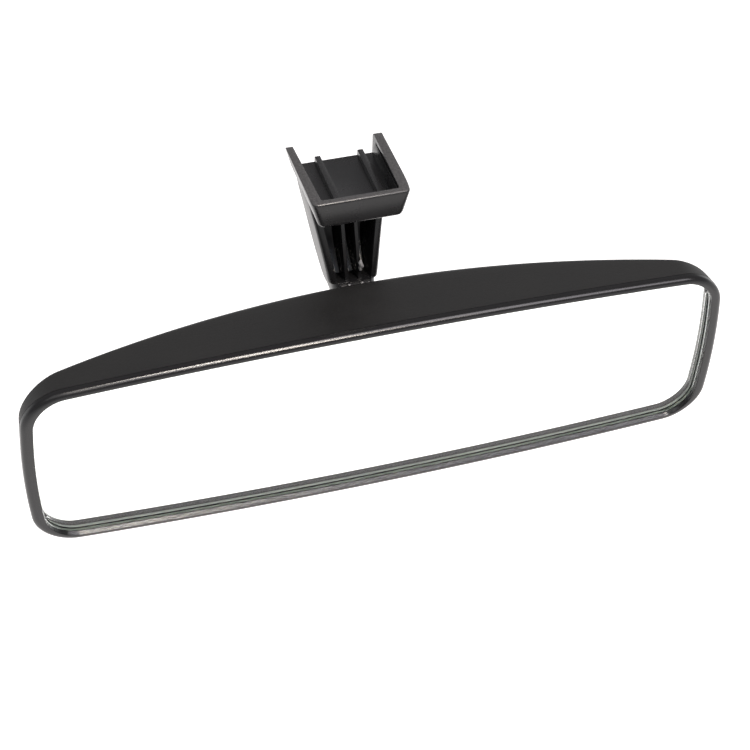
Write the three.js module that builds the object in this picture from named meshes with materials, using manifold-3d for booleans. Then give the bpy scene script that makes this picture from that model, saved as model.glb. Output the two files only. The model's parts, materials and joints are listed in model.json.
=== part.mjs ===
// Interior rearview mirror with a slide-on shoe, a ribbed arm and a ball-jointed head.
// Millimetres, +Z up. The origin is the centre of the shoe's floor, +X is to the right of the
// person who looks into the glass and +Y points away from them, towards the windscreen.
import * as THREE from 'three';
import { mergeVertices } from 'three/addons/utils/BufferGeometryUtils.js';
import { LoftGeometry } from 'three/addons/geometries/LoftGeometry.js';
import Module from 'manifold-3d';

const wasm = await Module();
wasm.setup();

// Shoe: a tray that slides over the button on the windscreen.
const shoeLength = 32.8;
const shoeWidthTop = 32.2;
const shoeWidthBottom = 27.2;
const shoeWallHeight = 8;
const shoeFloorThickness = 1.6;
const shoeSideWall = 2.6;
const shoeEndWall = 2.2;
const shoeCornerRadius = 2.5;
const shoeGrooveHeight = 0.8;
const shoeGrooveDepth = 0.7;
const shoeGrooveTilt = 2.5;
const shoeGrooveDrop = 1.6;
const floorRibWidth = 2.4;
const floorRibHeight = 2;
const leftFloorRibX = -5.3;
const rightFloorRibX = 9.1;

// Arm: a channel that opens towards the glass side, with two ribs inside it.
const armWall = 2.2;
const armRibThickness = 1.1;
const armRibSpacing = 4.4;
const armRibSetBack = 1;
const armBossRadius = 6.5;
const armRibInset = 0.5;
// Down the arm: front and rear Y, front and rear Z, half width, corner radius.
const armProfile = [
  { y: [-1.9, 14.6], z: [-6, -6.4], half: 12.4, round: 1.2 },
  { y: [-4, 12.6], z: [-12.4, -13.2], half: 11.2, round: 1.3 },
  { y: [-7, 9.6], z: [-21.3, -22.3], half: 9.7, round: 1.5 },
  { y: [-8.7, 5.8], z: [-26.3, -27.8], half: 8.9, round: 1.8 },
  { y: [-10, 0.4], z: [-30.3, -33], half: 8.2, round: 2.2 },
];
const armRootInset = 0.5;
const armRootHalf = 13.4;
const armThroat = { half: 7.2, slimmer: 0.6, round: 4 };

// Ball joint, from the ball outwards.
const ballRadius = 7;
const neckRadius = 3.2;
const shankRadius = 4;
const shankLength = 9;
const collarRadius = 5;
const collarThickness = 0.9;
const linerThickness = 1.6;
const cupThickness = 0.7;
const socketWall = 2;
const jointGap = 0.3;
const studElevation = 45;
const socketTilt = 25;
const linerOpening = 44;
const socketOpening = 57;
const cupEdge = 100;
const cupSlitWidth = 1.2;
const cupSlitDepth = 0.75;
const socketFlangeWidth = 4.3;
const socketFlangeThickness = 2.4;
const capFlangeThickness = 2;
const carrierWidth = 66;
const carrierHeight = 30;
const carrierThickness = 2.4;

// Head: crowned edges, rounded corners, deepest in the middle.
const headWidth = 232;
const headHeight = 68.5;
const topCrown = 2.9;
const bottomCrown = 3.7;
const sideCrown = 2.1;
const cornerRadius = 13;
const headSetBack = 46.2;
const headDrop = 55;
const ballDepth = 24;
const ballHeight = 6;

// Housing shell.
const housingWall = 2;
const housingCentreDepth = 30;
const housingEndDepth = 8.2;
const housingBulge = 7;
const housingDraft = 7;
const housingEdgeRadius = 4.5;
const housingEndRadius = 1.2;
const housingBackTurn = 62;
const housingWallTurns = [25, 43, housingBackTurn];
const housingBackRings = [0.92, 0.8, 0.62, 0.4, 0.15];
const leastInnerRadius = 0.4;
const lapThickness = 0.85;
const slotWidth = 28;
const slotBottom = -4;
const slotTop = 25;
const slotCornerRadius = 5;
const webThickness = 1.6;
const webHeight = 44;
const innerWebX = 52;
const outerWebX = 86;
const bossRadius = 4;
const bossSpacingX = 54;
const bossSpacingZ = 18;

// Bezel, glass and what lies behind the glass.
const rimSide = 4;
const rimEdge = 2.7;
const beadRadius = 1.4;
const bezelDepth = 3;
const lipDepth = 1.6;
const lipRound = 0.5;
const skirtDepth = 5.3;
const glassOverlap = 0.5;
const glassThickness = 3;
const glassChamfer = 0.5;
const filmThickness = 0.3;
const filmInset = 1;
const padThickness = 2.6;
const padWidth = 10;
const padHeight = 36;

// Screws.
const capScrewRadius = 1.1;
const capScrewHeadRadius = 2.2;
const capScrewHeadHeight = 1.6;
const capScrewStandOff = 2;
const carrierScrewRadius = 1.3;
const carrierScrewHeadRadius = 2.8;
const carrierScrewHeadHeight = 1.8;
const carrierScrewLength = 10;
const screwRecessDepth = 0.8;

// Clearances between neighbouring pieces.
const gap = 0.3;
const screwClearance = 0.4;
const boreClearance = 0.3;

// Facet counts.
const roundSegments = 24;
const smallSegments = 12;
const polarStep = 15;
const cornerSegments = 5;
const longEdgeSegments = 18;
const shortEdgeSegments = 4;

const plastic = new THREE.MeshStandardMaterial({ color: 0x242425, roughness: 0.6, metalness: 0 });
const rimPlastic = new THREE.MeshStandardMaterial({ color: 0x2b2b2c, roughness: 0.35, metalness: 0 });
const acetal = new THREE.MeshStandardMaterial({ color: 0xe6e4dc, roughness: 0.4, metalness: 0 });
const zinc = new THREE.MeshStandardMaterial({ color: 0xb9bbbd, roughness: 0.35, metalness: 1 });
const springSteel = new THREE.MeshStandardMaterial({ color: 0x8e9196, roughness: 0.3, metalness: 1 });
const screwSteel = new THREE.MeshStandardMaterial({ color: 0xa8aaad, roughness: 0.4, metalness: 1 });
const silveredGlass = new THREE.MeshStandardMaterial({ color: 0xdfe6e2, roughness: 0.03, metalness: 1 });
const filmMaterial = new THREE.MeshStandardMaterial({ color: 0xc8ccd0, roughness: 0.2, metalness: 1 });
const foam = new THREE.MeshStandardMaterial({ color: 0x1c1c1c, roughness: 0.95, metalness: 0 });

const degrees = THREE.MathUtils.degToRad;

// Turns a geometry's faces outwards if they point in.
function faceOutwards(geometry) {
  const position = geometry.attributes.position;
  const index = geometry.index;
  const [a, b, c] = [new THREE.Vector3(), new THREE.Vector3(), new THREE.Vector3()];
  let volume = 0;
  for (let i = 0; i < index.count; i += 3) {
    a.fromBufferAttribute(position, index.getX(i));
    b.fromBufferAttribute(position, index.getX(i + 1));
    c.fromBufferAttribute(position, index.getX(i + 2));
    volume += a.dot(b.cross(c));
  }
  if (volume < 0) geometry.setIndex(Array.from(index.array).reverse());
  return geometry;
}

// Keeps position only, merges shared vertices and drops triangles that collapse at a pole.
function weld(geometry) {
  const plain = new THREE.BufferGeometry();
  plain.setAttribute('position', geometry.attributes.position);
  plain.setIndex(geometry.index);
  const merged = mergeVertices(plain, 1e-4);
  const kept = [];
  for (let i = 0; i < merged.index.count; i += 3) {
    const [a, b, c] = [0, 1, 2].map((corner) => merged.index.getX(i + corner));
    if (a !== b && b !== c && c !== a) kept.push(a, b, c);
  }
  merged.setIndex(kept);
  return faceOutwards(merged);
}

function toSolid(geometry) {
  const merged = weld(geometry);
  return new wasm.Manifold(new wasm.Mesh({
    numProp: 3,
    vertProperties: new Float32Array(merged.attributes.position.array),
    triVerts: new Uint32Array(merged.index.array),
  }));
}

function toGeometry(solid) {
  const result = solid.getMesh();
  const geometry = new THREE.BufferGeometry();
  geometry.setAttribute('position', new THREE.BufferAttribute(new Float32Array(result.vertProperties), 3));
  geometry.setIndex(Array.from(result.triVerts));
  geometry.computeVertexNormals();
  return geometry;
}

function box(low, high) {
  const [from, to] = [new THREE.Vector3(...low), new THREE.Vector3(...high)];
  const size = to.clone().sub(from);
  const middle = from.clone().add(to).multiplyScalar(0.5);
  return new THREE.BoxGeometry(size.x, size.y, size.z).translate(middle.x, middle.y, middle.z);
}

function addMesh(group, name, geometry, material) {
  const mesh = new THREE.Mesh(geometry, material);
  mesh.name = name;
  group.add(mesh);
  return mesh;
}

// Points along an arc of a sphere's section, by polar angle from the +Y axis.
function arc(radius, from, to, step = polarStep) {
  const count = Math.max(1, Math.ceil(Math.abs(to - from) / step));
  const points = [];
  for (let i = 0; i <= count; i++) {
    const angle = degrees(THREE.MathUtils.lerp(from, to, i / count));
    const onAxis = Math.abs(Math.sin(angle)) < 1e-9;
    points.push(new THREE.Vector2(onAxis ? 0 : radius * Math.sin(angle), radius * Math.cos(angle)));
  }
  return points;
}

function closeProfile(points) {
  return [...points, points[0].clone()];
}

// The head's outline in its own X and Z, inset from the outermost edge. The plain rounded
// rectangle is walked counterclockwise as the glass is looked at, and its edges are then crowned.
function outline(sideInset, edgeInset) {
  const halfWidth = headWidth / 2 - sideInset;
  const halfHeight = headHeight / 2 - edgeInset;
  const radius = cornerRadius - edgeInset;
  const corners = [[1, -1], [1, 1], [-1, 1], [-1, -1]];
  const plain = [];
  corners.forEach(([sideX, sideZ], corner) => {
    const centre = new THREE.Vector2(sideX * (halfWidth - radius), sideZ * (halfHeight - radius));
    const start = (corner - 1) * Math.PI / 2;
    for (let i = 0; i <= cornerSegments; i++) {
      const angle = start + (i / cornerSegments) * Math.PI / 2;
      plain.push(new THREE.Vector2(
        centre.x + radius * Math.cos(angle), centre.y + radius * Math.sin(angle),
      ));
    }
    const [nextX, nextZ] = corners[(corner + 1) % 4];
    const onLongEdge = sideZ === nextZ;
    const steps = onLongEdge ? longEdgeSegments : shortEdgeSegments;
    const from = plain[plain.length - 1];
    const to = onLongEdge
      ? new THREE.Vector2(nextX * (halfWidth - radius), sideZ * halfHeight)
      : new THREE.Vector2(sideX * halfWidth, nextZ * (halfHeight - radius));
    for (let i = 1; i < steps; i++) plain.push(from.clone().lerp(to, i / steps));
  });
  return plain.map(({ x, y }) => {
    const up = y / halfHeight;
    const across = x / halfWidth;
    const crown = y > 0 ? topCrown : bottomCrown;
    return new THREE.Vector2(
      x * (1 - (sideCrown * up ** 2) / halfWidth), y * (1 - (crown * across ** 2) / halfHeight),
    );
  });
}

function ringAt(points, depth) {
  return points.map(({ x, y }) => new THREE.Vector3(x, depth, y));
}

// A closed loft. Its sections are turned round if they don't wind the way the loft travels.
function loft(sections) {
  const middle = (section) => {
    const sum = new THREE.Vector3();
    for (const point of section) sum.add(point);
    return sum.divideScalar(section.length);
  };
  const travel = middle(sections[sections.length - 1]).sub(middle(sections[0]));
  const first = sections[0];
  const area = new THREE.Vector3();
  first.forEach((point, i) => area.add(point.clone().cross(first[(i + 1) % first.length])));
  const wound = area.dot(travel) > 0 ? sections : sections.map((section) => [...section].reverse());
  return weld(new LoftGeometry(wound, { capStart: true, capEnd: true }));
}

// ---- Head shell: one family of rings makes the outside and, inset by the wall, the inside.

const housingFront = bezelDepth + gap;
const glassFront = lipDepth + gap;
const glassBack = glassFront + glassThickness;
const filmFront = glassBack + gap;
const filmBack = filmFront + filmThickness;
const padFront = filmBack + gap;
const padBack = padFront + padThickness;
const webFront = padBack + gap;

function housingShape(inset) {
  const rim = outline(0, 0);
  const draft = Math.tan(degrees(housingDraft));
  const middleness = (x) => Math.max(0, 1 - (x / (headWidth / 2)) ** 2);
  const depthAt = (x) => THREE.MathUtils.lerp(housingEndDepth, housingCentreDepth, middleness(x)) - inset;
  const radiusAt = (x) => {
    const outer = THREE.MathUtils.lerp(housingEndRadius, housingEdgeRadius, middleness(x));
    return Math.max(outer - inset, leastInnerRadius);
  };
  const normals = rim.map((point, i) => {
    const along = rim[(i + 1) % rim.length].clone().sub(rim[(i + rim.length - 1) % rim.length]);
    return new THREE.Vector2(along.y, -along.x).normalize();
  });
  const pushIn = (i, amount) => rim[i].clone().addScaledVector(normals[i], -amount);

  const wallRing = (fraction, startDepth, startInset) => rim.map((point, i) => {
    const wallEnd = depthAt(point.x) - radiusAt(point.x);
    const depth = THREE.MathUtils.lerp(startDepth, wallEnd, fraction);
    const at = pushIn(i, startInset + draft * (depth - housingFront));
    return new THREE.Vector3(at.x, depth, at.y);
  });
  const turnRing = (turn, startInset) => rim.map((point, i) => {
    const radius = radiusAt(point.x);
    const wallEnd = depthAt(point.x) - radius;
    const first = degrees(housingDraft);
    const wallInset = startInset + draft * (wallEnd - housingFront);
    const at = pushIn(i, wallInset + radius * (Math.cos(first) - Math.cos(degrees(turn))));
    return new THREE.Vector3(at.x, wallEnd + radius * (Math.sin(degrees(turn)) - Math.sin(first)), at.y);
  });
  const backRing = (scale, startInset) => {
    const rise = Math.sin(degrees(housingBackTurn)) - Math.sin(degrees(housingDraft));
    return turnRing(housingBackTurn, startInset).map(({ x, z }) => {
      const at = x * scale;
      const edgeDepth = depthAt(at) - radiusAt(at) * (1 - rise);
      return new THREE.Vector3(at, edgeDepth + housingBulge * middleness(at) * (1 - scale ** 2), z * scale);
    });
  };
  const turned = housingWallTurns.map((turn) => turnRing(turn, inset));
  const back = housingBackRings.map((scale) => backRing(scale, inset));
  return { wallRing, afterWall: [...turned, ...back] };
}

function housingOuter() {
  const shape = housingShape(0);
  return loft([shape.wallRing(0, housingFront, 0), shape.wallRing(1, housingFront, 0), ...shape.afterWall]);
}

function housingInner() {
  const shape = housingShape(housingWall);
  const lapEnd = skirtDepth + gap;
  const front = ringAt(outline(lapThickness, lapThickness), housingFront - 1);
  const lap = ringAt(outline(lapThickness, lapThickness), lapEnd);
  const step = shape.wallRing(0, lapEnd, housingWall);
  return loft([front, lap, step, shape.wallRing(1, lapEnd, housingWall), ...shape.afterWall]);
}

// A prism along the depth of the head, from a rounded outline.
function slotPrism() {
  const shape = new THREE.Shape();
  const x = slotWidth / 2 - slotCornerRadius;
  const [low, high] = [slotBottom + slotCornerRadius, slotTop - slotCornerRadius];
  [[x, low], [x, high], [-x, high], [-x, low]].forEach(([cornerX, cornerZ], i) => {
    const start = (i - 1) * Math.PI / 2;
    shape.absarc(cornerX, cornerZ, slotCornerRadius, start, start + Math.PI / 2);
  });
  const length = housingCentreDepth + housingBulge;
  const prism = new THREE.ExtrudeGeometry(shape, { depth: length, bevelEnabled: false, curveSegments: 4 });
  return prism.rotateX(Math.PI / 2).translate(0, length + ballDepth, 0);
}

const bossPlaces = [[-1, -1], [1, -1], [-1, 1], [1, 1]].map(([sideX, sideZ]) => ({
  x: sideX * bossSpacingX / 2,
  z: ballHeight + sideZ * bossSpacingZ / 2,
}));
const carrierBack = ballDepth - ballRadius + carrierThickness / 2;
const carrierFront = carrierBack - carrierThickness;
const bossFront = carrierBack + gap;

function alongDepth(radius, from, to, x, z, segments = smallSegments) {
  return new THREE.CylinderGeometry(radius, radius, to - from, segments).translate(x, (from + to) / 2, z);
}

function buildHousing() {
  const outside = toSolid(housingOuter());
  const deepest = housingCentreDepth + housingBulge;
  let shell = outside.subtract(toSolid(housingInner()));
  for (const x of [-outerWebX, -innerWebX, innerWebX, outerWebX]) {
    const web = box(
      [x - webThickness / 2, webFront, -webHeight / 2], [x + webThickness / 2, deepest, webHeight / 2],
    );
    shell = shell.add(toSolid(web).intersect(outside));
  }
  for (const { x, z } of bossPlaces) {
    const post = toSolid(alongDepth(bossRadius, bossFront, deepest, x, z)).intersect(outside);
    const holeEnd = carrierFront + carrierScrewLength + 1;
    const hole = alongDepth(carrierScrewRadius + screwClearance, bossFront - 1, holeEnd, x, z);
    shell = shell.add(post).subtract(toSolid(hole));
  }
  return toGeometry(shell.subtract(toSolid(slotPrism())));
}

// ---- Bezel: one profile carried round the outline. Each point is side inset, edge inset, depth.
function buildBezel() {
  const bead = [90, 60, 30, 0].map((angle) => {
    const inset = beadRadius * (1 - Math.sin(degrees(angle)));
    return [inset, inset, beadRadius * (1 - Math.cos(degrees(angle)))];
  });
  const outer = lapThickness + gap;
  const pocketSide = rimSide - glassOverlap - gap;
  const pocketEdge = rimEdge - glassOverlap - gap;
  const profile = [
    ...bead,
    [rimSide - lipRound, rimEdge - lipRound, 0],
    [rimSide, rimEdge, lipRound],
    [rimSide, rimEdge, lipDepth],
    [pocketSide, pocketEdge, lipDepth],
    [pocketSide, pocketEdge, skirtDepth],
    [outer, outer, skirtDepth],
    [outer, outer, bezelDepth],
    [0, 0, bezelDepth],
  ];
  const rings = profile.map(([side, edge, depth]) => ringAt(outline(side, edge), depth));
  return weld(new LoftGeometry([...rings, rings[0]]));
}

function buildGlass() {
  const side = rimSide - glassOverlap;
  const edge = rimEdge - glassOverlap;
  return loft([
    ringAt(outline(side + glassChamfer, edge + glassChamfer), glassFront),
    ringAt(outline(side, edge), glassFront + glassChamfer),
    ringAt(outline(side, edge), glassBack),
  ]);
}

function buildFilm() {
  const points = outline(rimSide - glassOverlap + filmInset, rimEdge - glassOverlap + filmInset);
  return loft([ringAt(points, filmFront), ringAt(points, filmBack)]);
}

// ---- Ball joint. Every shell is turned about an axis through the ball's centre.
const linerInner = ballRadius + jointGap;
const linerOuter = linerInner + linerThickness;
const cupInner = linerOuter + jointGap;
const cupOuter = cupInner + cupThickness;
const socketInner = cupOuter + jointGap;
const socketOuter = socketInner + socketWall;
const capOuter = cupInner + socketWall;
const capScrewCircle = capOuter + capScrewStandOff;
const socketFlangeRadius = capOuter + socketFlangeWidth;
const collarStart = capOuter + jointGap;
const bossFace = collarStart + collarThickness + gap;
const shankEnd = bossFace + shankLength;

function turnedShell(inner, outer, from, to) {
  const points = [...arc(outer, from, to), ...arc(inner, to, from)];
  return weld(new THREE.LatheGeometry(closeProfile(points), roundSegments));
}

function turnedCup(inner, outer, edge) {
  const points = [...arc(outer, 180, edge), ...arc(inner, edge, 180)];
  return weld(new THREE.LatheGeometry(points, roundSegments));
}

function buildBallStud() {
  const neckAngle = THREE.MathUtils.radToDeg(Math.asin(neckRadius / ballRadius));
  const points = [
    ...arc(ballRadius, 180, neckAngle),
    new THREE.Vector2(neckRadius, collarStart),
    new THREE.Vector2(collarRadius, collarStart),
    new THREE.Vector2(collarRadius, collarStart + collarThickness),
    new THREE.Vector2(shankRadius, collarStart + collarThickness),
    new THREE.Vector2(shankRadius, shankEnd),
    new THREE.Vector2(0, shankEnd),
  ];
  return weld(new THREE.LatheGeometry(points, roundSegments));
}

// Four slits from the edge leave spring fingers.
function buildPressureCup() {
  let cup = toSolid(turnedCup(cupInner, cupOuter, cupEdge));
  const [across, end] = [cupOuter + 1, -cupOuter * cupSlitDepth];
  for (const turn of [45, 135]) {
    const slit = box([-across, end, -cupSlitWidth / 2], [across, 0, cupSlitWidth / 2]);
    cup = cup.subtract(toSolid(slit.rotateY(degrees(turn))));
  }
  return toGeometry(cup);
}

const capScrewAngles = [90, 210, 330];
function screwPlace(angle) {
  return { x: capScrewCircle * Math.cos(degrees(angle)), z: capScrewCircle * Math.sin(degrees(angle)) };
}

function buildSocketCap() {
  const rim = arc(capOuter, 90, socketOpening).filter(({ y }) => y > capFlangeThickness);
  const meet = Math.sqrt(capOuter ** 2 - capFlangeThickness ** 2);
  const points = [
    new THREE.Vector2(cupInner, 0),
    new THREE.Vector2(socketFlangeRadius, 0),
    new THREE.Vector2(socketFlangeRadius, capFlangeThickness),
    new THREE.Vector2(meet, capFlangeThickness),
    ...rim,
    ...arc(cupInner, socketOpening, 90).slice(0, -1),
  ];
  let cap = toSolid(new THREE.LatheGeometry(closeProfile(points), roundSegments));
  for (const angle of capScrewAngles) {
    const { x, z } = screwPlace(angle);
    const hole = alongDepth(capScrewRadius + screwClearance, -1, capFlangeThickness + 1, x, z);
    cap = cap.subtract(toSolid(hole));
  }
  return toGeometry(cap);
}

// The carrier is the front half of the socket on a plate that is screwed to the housing.
function buildCarrier() {
  const flangeTop = -gap;
  const flangeBottom = flangeTop - socketFlangeThickness;
  const cupPoints = [
    ...arc(socketOuter, 180, 90 + polarStep),
    new THREE.Vector2(Math.sqrt(socketOuter ** 2 - flangeBottom ** 2), flangeBottom),
    new THREE.Vector2(socketFlangeRadius, flangeBottom),
    new THREE.Vector2(socketFlangeRadius, flangeTop),
    new THREE.Vector2(0, flangeTop),
  ];
  const lean = degrees(socketTilt);
  const place = (geometry) => geometry.rotateX(lean).translate(0, ballDepth, ballHeight);
  const plate = box(
    [-carrierWidth / 2, carrierFront, ballHeight - carrierHeight / 2],
    [carrierWidth / 2, carrierBack, ballHeight + carrierHeight / 2],
  );
  const hollowPoints = [
    ...arc(socketInner, 180, 90), new THREE.Vector2(socketInner, 1), new THREE.Vector2(0, 1),
  ];
  const behind = box([-headWidth, flangeTop, -headWidth], [headWidth, headWidth, headWidth]);
  let carrier = toSolid(place(new THREE.LatheGeometry(cupPoints, roundSegments)));
  carrier = carrier.add(toSolid(plate).subtract(toSolid(place(behind))));
  carrier = carrier.subtract(toSolid(place(new THREE.LatheGeometry(hollowPoints, roundSegments))));
  for (const angle of capScrewAngles) {
    const { x, z } = screwPlace(angle);
    const hole = alongDepth(capScrewRadius + screwClearance, flangeBottom - 1, 0, x, z);
    carrier = carrier.subtract(toSolid(place(hole)));
  }
  for (const { x, z } of bossPlaces) {
    const hole = alongDepth(carrierScrewRadius + screwClearance, carrierFront - 1, carrierBack + 1, x, z);
    carrier = carrier.subtract(toSolid(hole));
  }
  return toGeometry(carrier);
}

// A pan-head screw along +Y: its head ends at 0 and its shank goes on to the length.
function buildScrew(radius, headRadius, headHeight, length) {
  const points = [
    [0, -headHeight], [headRadius * 0.7, -headHeight], [headRadius, -headHeight * 0.5], [headRadius, 0],
    [radius, 0], [radius, length - radius], [0, length],
  ].map(([x, y]) => new THREE.Vector2(x, y));
  const screw = toSolid(new THREE.LatheGeometry(points, smallSegments));
  const recess = [0.25, 1].map((share, i) => {
    const [across, along] = [headRadius * share, headRadius * [1, 0.25][i]];
    return box([-across, -headHeight - 1, -along], [across, -headHeight + screwRecessDepth, along]);
  });
  const half = headRadius * 0.6;
  const limit = box([-half, -headHeight - 1, -half], [half, 0, half]);
  const cross = recess.map((part) => toSolid(part).intersect(toSolid(limit.clone())));
  return toGeometry(screw.subtract(cross[0].add(cross[1])));
}

// ---- Arm. Each station is the front and rear point of the arm's side profile, and a half width.
const headOrigin = new THREE.Vector3(0, -headSetBack, -headDrop);
const ballCentre = headOrigin.clone().add(new THREE.Vector3(0, ballDepth, ballHeight));
const studAxis = new THREE.Vector3(0, Math.cos(degrees(studElevation)), Math.sin(degrees(studElevation)));
const studNormal = new THREE.Vector3(0, -studAxis.z, studAxis.y);

function armStations() {
  const underFloor = -shoeFloorThickness / 2;
  const bossEnd = ballCentre.clone().addScaledVector(studAxis, bossFace);
  const bossStart = ballCentre.clone().addScaledVector(studAxis, bossFace + shankLength);
  const across = (centre, half) => {
    const front = centre.clone().addScaledVector(studNormal, half);
    const rear = centre.clone().addScaledVector(studNormal, -half);
    return { front: [front.y, front.z], rear: [rear.y, rear.z] };
  };
  const root = { half: armRootHalf, round: armProfile[0].round };
  const rootRear = shoeLength / 2 - armRootInset;
  return [
    { front: [0, underFloor], rear: [rootRear, underFloor], ...root },
    ...armProfile.map(({ y, z, half, round }) => (
      { front: [y[0], z[0]], rear: [y[1], z[1]], half, round }
    )),
    { ...across(bossStart, armBossRadius - armThroat.slimmer), ...armThroat },
    { ...across(bossEnd, armBossRadius), half: armBossRadius, round: armBossRadius },
  ];
}

// A rounded rectangle across the arm at one station, optionally thinned to the channel's size.
function armSection({ front, rear, half, round }, cut = { wall: 0, open: 0 }) {
  const frontPoint = new THREE.Vector3(0, ...front);
  const rearPoint = new THREE.Vector3(0, ...rear);
  const inward = rearPoint.clone().sub(frontPoint).normalize();
  const thickness = frontPoint.distanceTo(rearPoint);
  const [near, far] = [-cut.open, thickness - cut.wall];
  const width = half - cut.wall;
  const radius = Math.min(cut.wall ? armRibInset : round, thickness / 2 - 0.1, half - 0.1);
  const corners = [[1, 0, -90], [1, 1, 0], [-1, 1, 90], [-1, 0, 180]];
  const points = [];
  for (const [side, end, start] of corners) {
    const middleX = side * (width - radius);
    const middleDepth = end ? far - radius : near + radius;
    for (let i = 0; i <= 3; i++) {
      const angle = degrees(start + i * 30);
      const depth = middleDepth + radius * Math.sin(angle);
      const at = frontPoint.clone().addScaledVector(inward, depth);
      points.push(new THREE.Vector3(middleX + radius * Math.cos(angle), at.y, at.z));
    }
  }
  return points;
}

// The shoe's section across its length, with the lower corners rounded.
function shoeBody() {
  const [top, bottom] = [shoeWidthTop / 2, shoeWidthBottom / 2];
  const low = -shoeFloorThickness;
  const side = new THREE.Vector2(top - bottom, shoeWallHeight - low).setLength(shoeCornerRadius);
  const shape = new THREE.Shape();
  shape.moveTo(-top, shoeWallHeight);
  shape.lineTo(-bottom - side.x, low + side.y);
  shape.quadraticCurveTo(-bottom, low, -bottom + shoeCornerRadius, low);
  shape.lineTo(bottom - shoeCornerRadius, low);
  shape.quadraticCurveTo(bottom, low, bottom + side.x, low + side.y);
  shape.lineTo(top, shoeWallHeight);
  const body = new THREE.ExtrudeGeometry(shape, { depth: shoeLength, bevelEnabled: false, curveSegments: 4 });
  return body.rotateX(Math.PI / 2).translate(0, shoeLength / 2, 0);
}

const pocketHalf = shoeWidthTop / 2 - shoeSideWall;
const pocketStart = -shoeLength / 2 + shoeEndWall;

function shoePocket() {
  return box([-pocketHalf, pocketStart, 0], [pocketHalf, shoeLength, shoeWallHeight * 2]);
}

// The groove under the lip of each side wall falls a little towards the open end.
function shoeGroove(side) {
  const reach = pocketHalf + shoeGrooveDepth;
  const top = shoeWallHeight - shoeGrooveDrop;
  const groove = box(
    [Math.min(0, side * reach), pocketStart, top - shoeGrooveHeight],
    [Math.max(0, side * reach), shoeLength, top],
  );
  return groove.translate(0, 0, -top).rotateX(degrees(-shoeGrooveTilt)).translate(0, 0, top);
}

function buildArm() {
  const stations = armStations();
  const channelStations = stations.slice(0, armProfile.length + 1);
  const body = toSolid(loft(stations.map((station) => armSection(station))));
  const channelCut = { wall: armWall, open: 3 };
  const channel = toSolid(loft(channelStations.map((station) => armSection(station, channelCut))));
  const underFloor = toSolid(box(
    [-shoeWidthTop, -shoeLength, -shoeFloorThickness], [shoeWidthTop, shoeLength, shoeWallHeight],
  ));
  const ribCut = { wall: armRibInset, open: -armRibSetBack };
  const ribLimit = toSolid(loft(stations.map((station) => armSection(station, ribCut))));
  let arm = body.subtract(channel.subtract(underFloor));
  for (const side of [-1, 1]) {
    const x = side * armRibSpacing / 2;
    const slab = toSolid(box(
      [x - armRibThickness / 2, -headSetBack, -headDrop],
      [x + armRibThickness / 2, shoeLength, -shoeFloorThickness / 2],
    ));
    arm = arm.add(slab.intersect(ribLimit));
  }
  arm = arm.add(toSolid(shoeBody())).subtract(toSolid(shoePocket()));
  for (const side of [-1, 1]) arm = arm.subtract(toSolid(shoeGroove(side)));
  for (const x of [leftFloorRibX, rightFloorRibX]) {
    const rib = box(
      [x - floorRibWidth / 2, pocketStart - shoeEndWall / 2, -shoeFloorThickness / 2],
      [x + floorRibWidth / 2, shoeLength / 2, floorRibHeight],
    );
    arm = arm.add(toSolid(rib));
  }
  const boreLength = shankLength + boreClearance + 1;
  const bore = new THREE.CylinderGeometry(
    shankRadius + boreClearance, shankRadius + boreClearance, boreLength, roundSegments,
  );
  bore.translate(0, bossFace + shankLength + boreClearance - boreLength / 2, 0);
  bore.rotateX(degrees(studElevation)).translate(ballCentre.x, ballCentre.y, ballCentre.z);
  return toGeometry(arm.subtract(toSolid(bore)));
}

// ---- Assembly.
const mirror = new THREE.Group();
const head = new THREE.Group();
head.position.copy(headOrigin);
const stud = new THREE.Group();
stud.position.copy(ballCentre);
stud.rotation.x = degrees(studElevation);
const socket = new THREE.Group();
socket.position.set(0, ballDepth, ballHeight);
socket.rotation.x = degrees(socketTilt);
head.add(socket);
mirror.add(head, stud);

addMesh(mirror, 'mirror_arm', buildArm(), plastic);
addMesh(stud, 'ball_stud', buildBallStud(), zinc);
addMesh(stud, 'ball_liner_rear', turnedShell(linerInner, linerOuter, linerOpening, 89), acetal);
addMesh(stud, 'ball_liner_front', turnedCup(linerInner, linerOuter, 92), acetal);
addMesh(socket, 'pressure_cup', buildPressureCup(), springSteel);
addMesh(socket, 'socket_cap', buildSocketCap(), plastic);
addMesh(head, 'socket_carrier', buildCarrier(), plastic);

capScrewAngles.forEach((angle, i) => {
  const length = capFlangeThickness + socketFlangeThickness + gap * 2;
  const screw = buildScrew(capScrewRadius, capScrewHeadRadius, capScrewHeadHeight, length);
  const { x, z } = screwPlace(angle);
  const mesh = addMesh(socket, `cap_screw_${i + 1}`, screw, screwSteel);
  mesh.rotation.x = Math.PI;
  mesh.position.set(x, capFlangeThickness + gap, z);
});

bossPlaces.forEach(({ x, z }, i) => {
  const screw = buildScrew(
    carrierScrewRadius, carrierScrewHeadRadius, carrierScrewHeadHeight, carrierScrewLength,
  );
  const mesh = addMesh(head, `carrier_screw_${i + 1}`, screw, screwSteel);
  mesh.position.set(x, carrierFront - gap, z);
});

addMesh(head, 'housing', buildHousing(), plastic);
addMesh(head, 'bezel', buildBezel(), rimPlastic);
addMesh(head, 'mirror_glass', buildGlass(), silveredGlass);
addMesh(head, 'backing_film', buildFilm(), filmMaterial);
[-outerWebX, -innerWebX, innerWebX, outerWebX].forEach((x, i) => {
  const pad = box([x - padWidth / 2, padFront, -padHeight / 2], [x + padWidth / 2, padBack, padHeight / 2]);
  addMesh(head, `foam_pad_${i + 1}`, pad, foam);
});

export default mirror;
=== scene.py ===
import json
import math

import bmesh
import bpy
from mathutils import Matrix, Vector


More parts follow.
